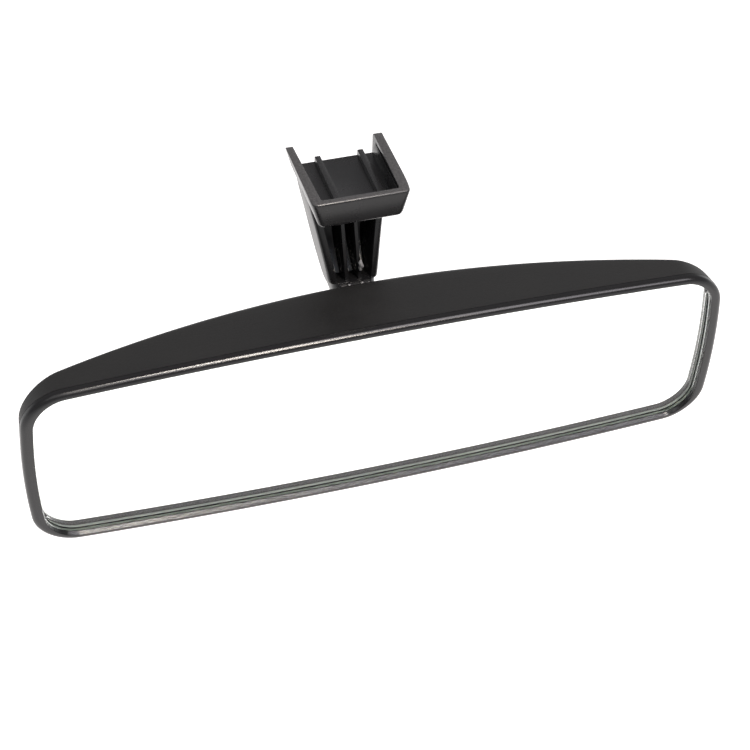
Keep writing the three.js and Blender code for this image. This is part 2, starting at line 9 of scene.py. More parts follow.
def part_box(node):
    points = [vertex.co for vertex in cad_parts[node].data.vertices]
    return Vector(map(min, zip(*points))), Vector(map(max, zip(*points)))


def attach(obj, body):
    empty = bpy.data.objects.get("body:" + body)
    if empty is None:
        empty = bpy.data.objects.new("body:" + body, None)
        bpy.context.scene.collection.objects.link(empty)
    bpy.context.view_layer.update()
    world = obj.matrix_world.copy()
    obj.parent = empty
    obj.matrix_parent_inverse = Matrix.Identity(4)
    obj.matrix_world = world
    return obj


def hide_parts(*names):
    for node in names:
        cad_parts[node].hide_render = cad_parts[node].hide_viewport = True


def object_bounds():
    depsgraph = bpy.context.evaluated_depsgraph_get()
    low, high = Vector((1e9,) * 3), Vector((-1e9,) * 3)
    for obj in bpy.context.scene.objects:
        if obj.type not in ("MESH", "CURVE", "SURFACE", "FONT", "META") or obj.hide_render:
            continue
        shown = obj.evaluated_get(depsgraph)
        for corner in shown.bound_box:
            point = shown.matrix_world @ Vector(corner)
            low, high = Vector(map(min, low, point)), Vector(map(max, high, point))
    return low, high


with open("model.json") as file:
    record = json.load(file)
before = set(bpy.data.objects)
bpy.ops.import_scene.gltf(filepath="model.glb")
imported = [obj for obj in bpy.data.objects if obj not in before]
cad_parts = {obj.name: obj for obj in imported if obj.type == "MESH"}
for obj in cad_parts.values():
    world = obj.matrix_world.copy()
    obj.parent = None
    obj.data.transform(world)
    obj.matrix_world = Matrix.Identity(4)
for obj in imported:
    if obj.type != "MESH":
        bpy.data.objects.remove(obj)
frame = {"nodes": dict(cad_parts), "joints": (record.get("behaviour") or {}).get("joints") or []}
cad_low, cad_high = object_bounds()

# ---- Camera: it looks down on the mirror from the glass side, a little from the left.

mm = 0.001
view_side, view_height, view_roll = math.radians(18.62), math.radians(42.58), math.radians(2.08)
view_distance, aim_x, aim_rise = 600 * mm, -3.98 * mm, 16.2 * mm
bezel_low, bezel_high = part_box("bezel")
aim = Vector((aim_x, bezel_low.y, (bezel_low.z + bezel_high.z) / 2 + aim_rise))
back = Vector((
    -math.sin(view_side) * math.cos(view_height),
    -math.cos(view_side) * math.cos(view_height),
    math.sin(view_height),
))
level_right = Vector((math.cos(view_side), -math.sin(view_side), 0))
level_up = back.cross(level_right)
right = level_right * math.cos(view_roll) + level_up * math.sin(view_roll)
camera = bpy.data.objects.new("camera", bpy.data.cameras.new("camera"))
camera.data.sensor_width = 36
camera.data.lens = 91.61
camera.data.clip_start = 0.01
turn = Matrix((right, back.cross(right), back)).transposed().to_4x4()
camera.matrix_world = Matrix.Translation(aim + back * view_distance) @ turn
bpy.context.scene.collection.objects.link(camera)
bpy.context.scene.camera = camera

# ---- Studio: a pale floor well below the mirror, a dim grey room and soft lamps.


def colour(hex_code):
    """An sRGB colour such as "1c1d1f", as linear red, green, blue and alpha."""
    parts = [int(hex_code[i:i + 2], 16) / 255 for i in (0, 2, 4)]
    linear = [p / 12.92 if p <= 0.04045 else ((p + 0.055) / 1.055) ** 2.4 for p in parts]
    return (*linear, 1)


def add(tree, kind, inputs=None, **settings):
    """Adds a node with its settings. An input is a value, or the socket that feeds it."""
    node = tree.nodes.new(kind)
    for name, value in settings.items():
        setattr(node, name, value)
    for socket, value in (inputs or {}).items():
        if isinstance(value, bpy.types.NodeSocket):
            tree.links.new(value, node.inputs[socket])
        else:
            node.inputs[socket].default_value = value
    return node


def blank_material(name):
    """A new material that has no nodes yet."""
    material = bpy.data.materials.new(name)
    material.use_nodes = True
    material.node_tree.nodes.clear()
    return material


bpy.context.scene.view_settings.view_transform = "Standard"

room = bpy.data.worlds.new("studio room")
room.use_nodes = True
room.node_tree.nodes.clear()
direction = add(room.node_tree, "ShaderNodeTexCoord").outputs["Generated"]
upness = add(room.node_tree, "ShaderNodeSeparateXYZ", {"Vector": direction}).outputs["Z"]
fade = add(room.node_tree, "ShaderNodeValToRGB", {"Fac": upness})
fade.color_ramp.elements[0].position = 0.02
fade.color_ramp.elements[0].color = (1, 1, 1, 1)
fade.color_ramp.elements[1].position = 0.3
fade.color_ramp.elements[1].color = (0.24, 0.24, 0.25, 1)
light = add(room.node_tree, "ShaderNodeBackground", {"Color": fade.outputs["Color"], "Strength": 1.0})
add(room.node_tree, "ShaderNodeOutputWorld", {"Surface": light.outputs["Background"]})
bpy.context.scene.world = room

floor_depth, floor_radius = 0.42, 6
sheet = bmesh.new()
bmesh.ops.create_circle(sheet, cap_ends=True, segments=96, radius=floor_radius)
bmesh.ops.translate(sheet, verts=sheet.verts, vec=(0, 0, cad_low.z - floor_depth))
floor_mesh = bpy.data.meshes.new("floor")
sheet.to_mesh(floor_mesh)
sheet.free()
floor = bpy.data.objects.new("floor", floor_mesh)
bpy.context.scene.collection.objects.link(floor)
paper = blank_material("white background paper")
fibre = add(paper.node_tree, "ShaderNodeTexNoise", {
    "Vector": add(paper.node_tree, "ShaderNodeTexCoord").outputs["Object"], "Scale": 900.0})
paper_bump = add(paper.node_tree, "ShaderNodeBump", {
    "Height": fibre.outputs["Fac"], "Strength": 0.1, "Distance": 0.0001})
paper_shader = add(paper.node_tree, "ShaderNodeBsdfPrincipled", {
    "Base Color": colour("f8f8f8"), "Roughness": 0.9, "Normal": paper_bump.outputs["Normal"],
    "Emission Color": (1, 1, 1, 1), "Emission Strength": 0.72})
add(paper.node_tree, "ShaderNodeOutputMaterial", {"Surface": paper_shader.outputs["BSDF"]})
floor_mesh.materials.append(paper)


def softbox(name, place, target, width, height, radiance, tint):
    """A soft rectangular lamp. A radiance of 1 is as bright as the palest part of the room."""
    data = bpy.data.lights.new(name, "AREA")
    data.shape = "RECTANGLE"
    data.size, data.size_y = width, height
    data.energy = radiance * math.pi * width * height
    data.color = colour(tint)[:3]
    lamp = bpy.data.objects.new(name, data)
    aim_turn = (Vector(target) - Vector(place)).to_track_quat("-Z", "Y")
    lamp.matrix_world = Matrix.Translation(place) @ aim_turn.to_matrix().to_4x4()
    lamp.visible_camera = False
    bpy.context.scene.collection.objects.link(lamp)


middle = (bezel_low + bezel_high) / 2
softbox("front softbox", middle + Vector((0.50, -0.58, 1.26)), middle, 0.60, 1.0, 5.5, "efe9f0")
softbox("front strip", middle + Vector((0.165, -0.58, 1.26)), middle, 0.06, 1.0, 88, "fff4e8")
softbox("side softbox", middle + Vector((0.07, -0.58, 1.26)), middle, 0.09, 1.0, 4.5, "d8e2f5")
softbox("overhead softbox", middle + Vector((-0.5, -0.5, 1.5)), middle, 1.4, 1.0, 0.8, "ffffff")

# ---- Shoe and arm: one moulding of black glass-filled nylon. The tray slides over a button on the
# windscreen, and a hollow channel with two ribs carries the load down to the ball.


def new_piece(name, mesh, material, body, replaced):
    """A finished piece, drawn in millimetres, that rides a body and stands for CAD nodes."""
    bmesh.ops.scale(mesh, vec=(mm, mm, mm), verts=mesh.verts)
    data = bpy.data.meshes.new(name)
    mesh.to_mesh(data)
    mesh.free()
    data.materials.append(material)
    piece = bpy.data.objects.new(name, data)
    bpy.context.scene.collection.objects.link(piece)
    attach(piece, body)
    if replaced:
        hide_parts(*replaced)
    return piece


def block(low, high):
    """A box between two corners."""
    mesh = bmesh.new()
    low, high = Vector(low), Vector(high)
    size = Matrix.Diagonal((*(high - low), 1))
    bmesh.ops.create_cube(mesh, size=1, matrix=Matrix.Translation((low + high) / 2) @ size)
    return mesh


def round_edges(mesh, edges, radius, segments, clamp_overlap=False):
    """Rounds some edges of a solid."""
    bmesh.ops.bevel(mesh, geom=edges, offset=radius, offset_type="OFFSET", segments=segments,
                    profile=0.5, affect="EDGES", material=-1, clamp_overlap=clamp_overlap)


def worked(mesh, *steps):
    """The solid after each step: ("UNION", "DIFFERENCE" or "INTERSECT", another solid)."""
    for operation, tool in steps:
        spare = []
        for solid in (mesh, tool):
            data = bpy.data.meshes.new("blank")
            solid.to_mesh(data)
            solid.free()
            spare.append(bpy.data.objects.new("blank", data))
            bpy.context.scene.collection.objects.link(spare[-1])
        step = spare[0].modifiers.new(operation, "BOOLEAN")
        step.operation, step.solver, step.object = operation, "EXACT", spare[1]
        graph = bpy.context.evaluated_depsgraph_get()
        made = bpy.data.meshes.new_from_object(spare[0].evaluated_get(graph))
        mesh = bmesh.new()
        mesh.from_mesh(made)
        bpy.data.meshes.remove(made)
        for blank in spare:
            bpy.data.meshes.remove(blank.data)
        bmesh.ops.remove_doubles(mesh, verts=mesh.verts, dist=1e-4)
    return mesh


def section(mesh, width, height, radius, segments, cuts=(0, 0)):
    """Adds a flat rounded rectangle round the origin, with cuts along its width and height."""
    known = set(mesh.faces)
    corners = bmesh.ops.create_grid(mesh, x_segments=1, y_segments=1, size=1)["verts"]
    for corner in corners:
        corner.co = (math.copysign(width / 2, corner.co.x), math.copysign(height / 2, corner.co.y), 0)
    bmesh.ops.bevel(mesh, geom=corners, offset=radius, offset_type="OFFSET", segments=segments,
                    profile=0.5, affect="VERTICES", material=-1)
    for along, count in enumerate(cuts):
        if count:
            face = next(f for f in mesh.faces if f not in known)
            longest = sorted(face.edges, key=lambda e: -abs((e.verts[0].co - e.verts[1].co)[along]))
            bmesh.ops.bisect_edges(mesh, edges=longest[:2], cuts=count)
    return next(f for f in mesh.faces if f not in known)


def skin(mesh, loops):
    """Joins flat loops one after another. The first and the last stay as the solid's ends."""
    edges = [list(face.edges) for face in loops]
    bmesh.ops.delete(mesh, geom=loops[1:-1], context="FACES_ONLY")
    for near, far in zip(edges, edges[1:]):
        bmesh.ops.bridge_loops(mesh, edges=near + far)
    bmesh.ops.recalc_face_normals(mesh, faces=mesh.faces)
    return mesh


def smooth(mesh, limit=32):
    """Shades the faces smooth, with the edges that turn further than the limit kept sharp."""
    for face in mesh.faces:
        face.smooth = True
    for edge in mesh.edges:
        edge.smooth = edge.is_manifold and edge.calc_face_angle() < math.radians(limit)
    return mesh


def round_sharp(mesh, radius, turn, segments=2):
    """Rounds every edge that turns further than an angle."""
    sharp = [e for e in mesh.edges if e.is_manifold and e.calc_face_angle() > math.radians(turn)]
    round_edges(mesh, sharp, radius, segments, clamp_overlap=True)


def moulded(name, fresh_colour, worn_colour, polish, grain, grain_depth, ior):
    """A moulded plastic: two colours and two roughnesses that it drifts between, its texture's
    grain and depth in mm, and its refractive index."""
    plastic = blank_material(name)
    tree = plastic.node_tree
    place = add(tree, "ShaderNodeTexCoord").outputs["Object"]
    texture = add(tree, "ShaderNodeTexNoise", {
        "Vector": place, "Scale": 1 / (grain * mm), "Detail": 3.0, "Roughness": 0.55})
    flow = add(tree, "ShaderNodeTexNoise", {
        "Vector": place, "Scale": 1 / (22 * mm), "Detail": 4.0, "Roughness": 0.6})
    # A mix node shares its sockets' names between data types: its colours are inputs 6 and 7 and
    # output 2.
    tone = add(tree, "ShaderNodeMix", {
        0: flow.outputs["Fac"], 6: colour(fresh_colour), 7: colour(worn_colour)},
        data_type="RGBA")
    sheen = add(tree, "ShaderNodeMapRange", {
        "Value": flow.outputs["Fac"], "From Min": 0.3, "From Max": 0.7,
        "To Min": polish[0], "To Max": polish[1]})
    relief = add(tree, "ShaderNodeBump", {
        "Height": texture.outputs["Fac"], "Strength": 1.0, "Distance": grain_depth * mm})
    shader = add(tree, "ShaderNodeBsdfPrincipled", {
        "Base Color": tone.outputs[2], "Roughness": sheen.outputs["Result"],
        "IOR": ior, "Normal": relief.outputs["Normal"]})
    add(tree, "ShaderNodeOutputMaterial", {"Surface": shader.outputs["BSDF"]})
    return plastic


half_top, far_end, wall_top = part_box("mirror_arm")[1] / mm
nylon = moulded("glass-filled nylon, spark-eroded mould", "161617", "1d1d1e", (0.22, 0.32), 0.5,
                0.022, 1.45)
# The tops of the walls are painted greyer in patches. This is partly scuffs from handling and partly
# painted light, standing in for the light that the tops catch.
nylon_tree = nylon.node_tree
nylon_shader = next(node for node in nylon_tree.nodes if node.type == "BSDF_PRINCIPLED")
moulded_tone = nylon_shader.inputs["Base Color"].links[0].from_socket
scuff_and_light_place = add(nylon_tree, "ShaderNodeTexCoord").outputs["Object"]
scuff_and_light_height = add(nylon_tree, "ShaderNodeSeparateXYZ", {"Vector": scuff_and_light_place}).outputs["Z"]
scuff_and_light_start, scuff_and_light_full, scuff_and_light_grain = 0.45, 0.1, 0.8
on_top = add(nylon_tree, "ShaderNodeMapRange", {
    "Value": scuff_and_light_height, "From Min": (wall_top - scuff_and_light_start) * mm,
    "From Max": (wall_top - scuff_and_light_full) * mm})
patches = add(nylon_tree, "ShaderNodeTexNoise", {
    "Vector": scuff_and_light_place, "Scale": 1 / (scuff_and_light_grain * mm), "Detail": 4.0, "Roughness": 0.7})
scuff_and_light_mask = add(nylon_tree, "ShaderNodeMath", {
    0: on_top.outputs["Result"], 1: patches.outputs["Fac"]}, operation="MULTIPLY")
# Painted light and scuffs: the wall tops are mixed towards a light grey.
scuff_and_light_mix = add(nylon_tree, "ShaderNodeMix", {
    0: scuff_and_light_mask.outputs["Value"], 6: moulded_tone, 7: colour("606061")}, data_type="RGBA")
nylon_tree.links.new(scuff_and_light_mix.outputs[2], nylon_shader.inputs["Base Color"])

# The tray, in mm: its side walls lean out by wall_lean from the floor to their tops.
wall_lean, near_wall, floor_under = 2.5, 2.2, -1.6
half_floor, near_end = half_top - wall_lean, -far_end
corner_round, under_round, near_top_round, far_top_round = 1.9, 1.5, 0.9, 1.3
tray = bmesh.new()
bmesh.ops.create_cube(tray, size=1)
for vert in tray.verts:
    half = half_top if vert.co.z > 0 else half_floor
    vert.co = (math.copysign(half, vert.co.x), math.copysign(far_end, vert.co.y),
               wall_top if vert.co.z > 0 else floor_under)
upright = [e for e in tray.edges
           if abs(e.verts[0].co.z - e.verts[1].co.z) > 1 and e.verts[0].co.y < 0]
round_edges(tray, upright, corner_round, 6)
under = [e for e in tray.edges if all(v.co.z < 0 for v in e.verts)
         and not all(v.co.y > far_end - 0.1 for v in e.verts)]
round_edges(tray, under, under_round, 5)
near_top = [e for e in tray.edges if all(v.co.y < 0 and v.co.z > wall_top - 0.1 for v in e.verts)]
round_edges(tray, near_top, near_top_round, 4)
far_top = [e for e in tray.edges if all(v.co.y > far_end - 0.1 and v.co.z > 1 for v in e.verts)]
round_edges(tray, far_top, far_top_round, 5)

# The pocket for the button narrows towards the near wall and is open at the far end.
pocket_left, pocket_right, pocket_near, pocket_round, past = 13.9, 13.4, 12.7, 0.7, 5
pocket = block((-pocket_left, near_end + near_wall, 0), (pocket_right, far_end + past, wall_top + past))
for vert in pocket.verts:
    if vert.co.y < 0:
        vert.co.x = math.copysign(pocket_near, vert.co.x)
pocket_corners = [e for e in pocket.edges if all(v.co.y < 0 for v in e.verts)
                  and abs(e.verts[0].co.z - e.verts[1].co.z) > 1]
round_edges(pocket, pocket_corners, pocket_round, 3)

# A groove runs under the lip of each side wall, a little higher at the near end.
groove_start, groove_reach, groove_gap, groove_stop = 10, 14.1, 0.6, 3.6
groove_bottom, groove_top, groove_climb = 2.3, 1.5, 0.7
groove = block((groove_start, near_end + near_wall + groove_gap, wall_top - groove_bottom),
               (groove_reach, far_end - groove_stop, wall_top - groove_top))
for vert in groove.verts:
    if vert.co.y < 0:
        vert.co.z += groove_climb
other_groove = groove.copy()
bmesh.ops.scale(other_groove, vec=(-1, 1, 1), verts=other_groove.verts)
bmesh.ops.reverse_faces(other_groove, faces=other_groove.faces)

# Two ribs on the floor, slimmer at the far end. They start inside the near wall and the floor.
floor_rib_width, floor_rib_top, slimmer, overlap = 2.3, 2.1, 0.8, 0.6
floor_ribs = []
for middle_x in (-5.3, 9.1):
    rib = block((middle_x - floor_rib_width / 2, near_end + 1, -overlap),
                (middle_x + floor_rib_width / 2, far_end - 0.15, floor_rib_top))
    for vert in rib.verts:
        if vert.co.y > 0:
            vert.co.x = middle_x + (vert.co.x - middle_x) * slimmer
    floor_ribs.append(rib)


def along(points, steps):
    """A smooth curve through rows of numbers, with a number of steps from each to the next."""
    rows = []
    for i in range(len(points) - 1):
        before, start = points[max(i - 1, 0)], points[i]
        end, after = points[i + 1], points[min(i + 2, len(points) - 1)]
        for k in range(steps):
            t = k / steps
            rows.append([
                0.5 * (2 * b + (c - a) * t + (2 * a - 5 * b + 4 * c - d) * t * t
                       + (3 * b - a - 3 * c + d) * t ** 3)
                for a, b, c, d in zip(before, start, end, after)])
    return rows + [list(points[-1])]


# The arm ends in a round boss round the ball's stud, which leans 45 degrees from the ball's centre.
yaw = next(joint for joint in frame["joints"] if joint["name"] == "head_yaw")
ball = Vector([place / mm for place in yaw["pos_m"]])
stud_lean = math.radians(45)
stud_way = Vector((0, math.cos(stud_lean), math.sin(stud_lean)))
stud_across = Vector((0, -stud_way.z, stud_way.y))
boss_face, boss_depth, boss_radius, throat_radius = 12.7, 9.0, 6.5, 5.9
throat, mouth = ball + stud_way * (boss_face + boss_depth), ball + stud_way * boss_face
# Down the arm, in mm: front y and z, rear y and z, half width, corner radius.
arm_profile = along([
    (-0.2, -0.8, far_end - 0.5, -0.8, 13.2, 1.4),
    (-1.9, -6.0, 14.6, -6.4, 12.4, 1.4),
    (-4.0, -12.4, 12.6, -13.2, 11.2, 1.5),
    (-7.0, -21.3, 9.6, -22.3, 9.7, 1.7),
    (-8.7, -26.3, 5.8, -27.8, 8.9, 1.9),
    (-10.0, -30.3, 0.4, -33.0, 8.2, 2.3),
    (*(throat + stud_across * throat_radius).yz, *(throat - stud_across * throat_radius).yz, 7.2, 4.0),
    (*(mouth + stud_across * boss_radius).yz, *(mouth - stud_across * boss_radius).yz, boss_radius, 6.4),
], 5)


def arm_solid(rows, wall=0.0, proud=0.0, corner=None):
    """A solid down the arm: whole, or thinned by a wall and standing proud of its front."""
    mesh = bmesh.new()
    loops = []
    for front_y, front_z, rear_y, rear_z, half, radius in rows:
        front, rear = Vector((0, front_y, front_z)), Vector((0, rear_y, rear_z))
        inward, depth = (rear - front).normalized(), (rear - front).length
        width, thick = 2 * (half - wall), depth - wall + proud
        radius = min(corner or radius, thick / 2 - 0.1, width / 2 - 0.1)
        face = section(mesh, width, thick, radius, 5)
        centre = front + inward * (thick / 2 - proud)
        across = Vector((1, 0, 0))
        place = Matrix((across, inward, across.cross(inward))).transposed().to_4x4()
        bmesh.ops.transform(mesh, matrix=Matrix.Translation(centre) @ place, verts=face.verts)
        loops.append(face)
    return skin(mesh, loops)


# The channel is open to the front, from just under the tray down to the sixth row of the profile.
channel_rows, arm_wall, channel_start = 26, 2.6, -1.1
channel = arm_solid(arm_profile[:channel_rows], wall=arm_wall, proud=3.0, corner=0.6)
channel_top = block((-30, -30, channel_start), (30, 30, 30))
channel = worked(channel, ("DIFFERENCE", channel_top))
bmesh.ops.recalc_face_normals(channel, faces=channel.faces)
# Its ribs reach one row further, so that they end inside the solid part of the arm.
rib_middle, half_rib, rib_foot, rib_head, rib_sunk = 2.2, 0.55, -32.5, -0.7, 1.0
ribs = []
for middle_x in (-rib_middle, rib_middle):
    slab = block((middle_x - half_rib, -40, rib_foot), (middle_x + half_rib, 20, rib_head))
    limit = arm_solid(arm_profile[:channel_rows + 1], wall=0.6, proud=-rib_sunk, corner=0.3)
    ribs.append(worked(slab, ("INTERSECT", limit)))
# The ball's shank is pressed into a bore that starts at the boss's face.
bore_radius, bore_end, bore_length = 4.3, 9.3, 12
shank_bore = bmesh.new()
bmesh.ops.create_cone(shank_bore, cap_ends=True, segments=48, radius1=bore_radius,
                      radius2=bore_radius, depth=bore_length)
bore_turn = stud_way.to_track_quat("Z", "Y").to_matrix().to_4x4()
bore_middle = ball + stud_way * (boss_face + bore_end - bore_length / 2)
bmesh.ops.transform(shank_bore, verts=shank_bore.verts,
                    matrix=Matrix.Translation(bore_middle) @ bore_turn)
# The channel runs out in three shallow grooves along the boss, and the ribs' crests lie between.
run_out_sunk, run_out_turn = 1.3, math.radians(120)
run_out_place = ball + stud_way * 22.6 + stud_across * 6.1
run_out = []
for low_x, high_x in ((-4.9, -2.75), (-1.65, 1.65), (2.75, 4.9)):
    cutter = block((low_x, -run_out_sunk, 0), (high_x, 4, 8))
    bmesh.ops.rotate(cutter, verts=cutter.verts, matrix=Matrix.Rotation(run_out_turn, 3, "X"))
    bmesh.ops.translate(cutter, verts=cutter.verts, vec=run_out_place)
    run_out.append(cutter)
# The gate, where the melt came in: a shiny stub on the side of one rib, broken off rough. Its light grey
# colour is a painted glint.
gate_x, gate_y, gate_z = 2.45, -8.6, -25.4
gate = bmesh.new()
bmesh.ops.create_icosphere(gate, subdivisions=3, radius=1)
for vert in gate.verts:
    x, y, z = vert.co
    ripple = 1 + 0.22 * math.sin(5 * z + 2 * x) + 0.15 * math.sin(9 * x + 4 * z + 1)
    vert.co = (gate_x + 0.8 * x * ripple, gate_y + 0.9 * y * ripple, gate_z + 2.2 * z)
arm = worked(arm_solid(arm_profile), ("DIFFERENCE", channel), ("UNION", tray), ("DIFFERENCE", pocket),
             ("DIFFERENCE", groove), ("DIFFERENCE", other_groove),
             *(("UNION", rib) for rib in (*ribs, *floor_ribs)),
             *(("DIFFERENCE", cutter) for cutter in run_out), ("DIFFERENCE", shank_bore))
round_sharp(arm, 0.3, turn=42)
new_piece("arm_moulding", smooth(arm), nylon, "arm", ["mirror_arm"])
# The stub is painted light grey as a painted glint; the nylon itself is black.
painted_glint = moulded("torn nylon at the gate", "747475", "a0a0a0", (0.12, 0.25), 0.5, 0.05, 1.53)
new_piece("gate_stub", smooth(gate), painted_glint, "arm", [])

# ---- Ball joint: a greased zinc ball on a stud, in a split acetal liner that a sprung steel cup
# presses on. A moulded carrier and a cap hold them together with screws.


def metal(name, tint, polish, scratch, scratch_depth, stretch=(1, 1, 1)):
    """A bare metal: its colour, its roughness from smooth to rough, and its marks' size in mm."""
    alloy = blank_material(name)
    tree = alloy.node_tree
    place = add(tree, "ShaderNodeMapping", {
        "Vector": add(tree, "ShaderNodeTexCoord").outputs["Object"], "Scale": stretch})
    marks = add(tree, "ShaderNodeTexNoise", {
        "Vector": place.outputs["Vector"], "Scale": 1 / (scratch * mm), "Detail": 5.0})
    shade = add(tree, "ShaderNodeMapRange", {
        "Value": marks.outputs["Fac"], "To Min": polish[0], "To Max": polish[1]})
    relief = add(tree, "ShaderNodeBump", {
        "Height": marks.outputs["Fac"], "Strength": 0.6, "Distance": scratch_depth * mm})
    dark = tuple(0.82 * part for part in colour(tint)[:3]) + (1,)
    tone = add(tree, "ShaderNodeMix", {
        0: marks.outputs["Fac"], 6: dark, 7: colour(tint)}, data_type="RGBA")
    shader = add(tree, "ShaderNodeBsdfPrincipled", {
        "Base Color": tone.outputs[2], "Metallic": 1.0,
        "Roughness": shade.outputs["Result"], "Normal": relief.outputs["Normal"]})
    add(tree, "ShaderNodeOutputMaterial", {"Surface": shader.outputs["BSDF"]})
    return alloy


def refinish(names, material):
    """Gives CAD pieces that are kept as they are their real finish."""
    for name in names:
        frame["nodes"][name].data.materials.clear()
        frame["nodes"][name].data.materials.append(material)


refinish(["ball_stud"], metal("zinc die casting, tumbled", "b4b6b8", (0.28, 0.5), 0.8, 0.006))
refinish(["pressure_cup"], metal("tempered spring steel, rolled", "8b9098", (0.22, 0.42), 0.5,
                                 0.003, (1, 1, 14)))
refinish([f"cap_screw_{i}" for i in (1, 2, 3)] + [f"carrier_screw_{i}" for i in (1, 2, 3, 4)],
         metal("zinc-plated screw steel", "a9acb0", (0.25, 0.45), 0.6, 0.004))
refinish(["ball_liner_front", "ball_liner_rear"],
         moulded("natural acetal, smooth mould", "e2dfd5", "d8d4c8", (0.22, 0.34), 0.6, 0.004, 1.48))
refinish(["socket_cap", "socket_carrier"],
         moulded("black acetal, smooth mould", "151516", "1b1b1c", (0.28, 0.4), 0.5, 0.006, 1.48))

# ---- Housing: a deep shell of black polypropylene from a spark-eroded mould, with four webs, four
# screw bosses and a slot at the back for the arm.

head_low, head_high = bezel_low / mm, bezel_high / mm
front, head_middle = head_low.y, (head_low.z + head_high.z) / 2
half_width, half_height = (head_high.x - head_low.x) / 2, (head_high.z - head_low.z) / 2
# The outline, in mm: how far its top, its bottom and its sides bow out, and its corners' radius.
corner_radius, crowns, side_crown = 13, {1: 2.9, -1: 3.7}, 2.1


def rim_face(mesh):
    """Adds the head's outline as a flat face, in the head's own x and z, crowned on all sides."""
    face = section(mesh, 2 * half_width, 2 * half_height, corner_radius, 14, cuts=(95, 23))
    for vert in face.verts:
        x, z = vert.co.x, vert.co.y
        crown = crowns[1 if z > 0 else -1]
        vert.co = (x - math.copysign(side_crown, x) * (z / half_height) ** 2 * abs(x) / half_width, 0,
                   z - math.copysign(crown, z) * (x / half_width) ** 2 * abs(z) / half_height)
    return face


pattern = bmesh.new()
rim = [vert.co.xz for vert in rim_face(pattern).verts]
pattern.free()
outward = []
for here, (before, after) in enumerate(zip(rim[-1:] + rim[:-1], rim[1:] + rim[:1])):
    along_rim = (after - before).normalized()
    normal = Vector((along_rim.y, -along_rim.x))
    outward.append(normal if normal.dot(rim[here]) > 0 else -normal)


def loft(places, ring=False):
    """A skin drawn from the rim through a row of places: a closed solid, or a closed ring."""
    mesh = bmesh.new()
    face = rim_face(mesh)
    number = mesh.verts.layers.int.new("rim point")
    for i, vert in enumerate(face.verts):
        vert[number] = i
    verts, edges = list(face.verts), list(face.edges)
    if ring:
        bmesh.ops.delete(mesh, geom=[face], context="FACES_ONLY")
        places = places + places[:1]
    for row, place in enumerate(places):
        if row:
            grown = bmesh.ops.extrude_edge_only(mesh, edges=edges)["geom"]
            verts = [g for g in grown if isinstance(g, bmesh.types.BMVert)]
            edges = [g for g in grown if isinstance(g, bmesh.types.BMEdge)]
        for vert in verts:
            x, depth, z = place(vert[number])
            vert.co = (x, front + depth, head_middle + z)
    if ring:
        bmesh.ops.remove_doubles(mesh, verts=mesh.verts, dist=1e-4)
    else:
        bmesh.ops.edgeloop_fill(mesh, edges=edges)
    bmesh.ops.recalc_face_normals(mesh, faces=mesh.faces)
    return mesh


def inset(side, edge, depth):
    """A loop set in from the rim by one amount at the sides and another at the long edges."""
    def place(i):
        share = outward[i].x ** 2
        at = rim[i] - outward[i] * (side * share + edge * (1 - share))
        return at.x, depth, at.y
    return place


# In mm from the head's front: where the shell starts, and how deep its wall is in the middle and
# at its ends. Its back then turns in by last_turn and bulges.
start_depth, centre_depth, end_depth, bulge, wall = 3.08, 30, 8.2, 7, 2
centre_radius, end_radius, least_radius = 4.5, 1.2, 0.4
draft, last_turn = math.radians(7), math.radians(62)


def middleness(x):
    """1 in the middle of the head and 0 at its ends."""
    return max(0.0, 1 - (x / half_width) ** 2)


def depth_at(x, thinner):
    """How deep the back's edge lies."""
    return end_depth + (centre_depth - end_depth) * middleness(x) - thinner


def edge_radius(x, thinner):
    """The radius that turns the wall into the back."""
    return max(end_radius + (centre_radius - end_radius) * middleness(x) - thinner, least_radius)


def wall_place(share, thinner, start):
    """A loop round the drafted wall, at a share of its depth."""
    def place(i):
        x = rim[i].x
        depth = start + share * (depth_at(x, thinner) - edge_radius(x, thinner) - start)
        at = rim[i] - outward[i] * (thinner + math.tan(draft) * (depth - start_depth))
        return at.x, depth, at.y
    return place


def turn_place(angle, thinner):
    """A loop round the back's rounded edge, at an angle of its turn."""
    def place(i):
        x = rim[i].x
        radius = edge_radius(x, thinner)
        wall_end = depth_at(x, thinner) - radius
        amount = (thinner + math.tan(draft) * (wall_end - start_depth)
                  + radius * (math.cos(draft) - math.cos(angle)))
        at = rim[i] - outward[i] * amount
        return at.x, wall_end + radius * (math.sin(angle) - math.sin(draft)), at.y
    return place


def back_place(scale, thinner):
    """A loop on the bulging back, drawn in to a share of its edge."""
    rise = math.sin(last_turn) - math.sin(draft)

    def place(i):
        x, _, z = turn_place(last_turn, thinner)(i)
        x, z = x * scale, z * scale
        radius = edge_radius(x, thinner)
        taper = math.tan(draft) * (depth_at(x, thinner) - radius - start_depth)
        reach = (half_height - crowns[1 if z > 0 else -1] * (x / half_width) ** 2
                 - thinner - taper - radius * (math.cos(draft) - math.cos(last_turn)))
        level = depth_at(x, thinner) - radius * (1 - rise)
        return x, level + bulge * middleness(x) * max(0.0, 1 - (z / reach) ** 2), z
    return place


wall_steps = 6


def shell(first_places, thinner, start, turn_steps, back_steps):
    """A closed solid of the head's form, thinner all round by an amount."""
    turned = last_turn - draft
    places = first_places + [wall_place(k / wall_steps, thinner, start) for k in range(wall_steps + 1)]
    places += [turn_place(draft + turned * k / turn_steps, thinner) for k in range(1, turn_steps + 1)]
    places += [back_place(1 - k / back_steps, thinner) for k in range(1, back_steps)]
    return loft(places)


# The bezel's skirt laps inside the shell, where the wall is thinner.
lap_wall, lap_end = 0.85, 5.6
outside = shell([], 0, start_depth, 7, 16)
lap = [inset(lap_wall, lap_wall, 1.0), inset(lap_wall, lap_wall, lap_end)]
inside = shell(lap, wall, lap_end + 0.01, 3, 8)
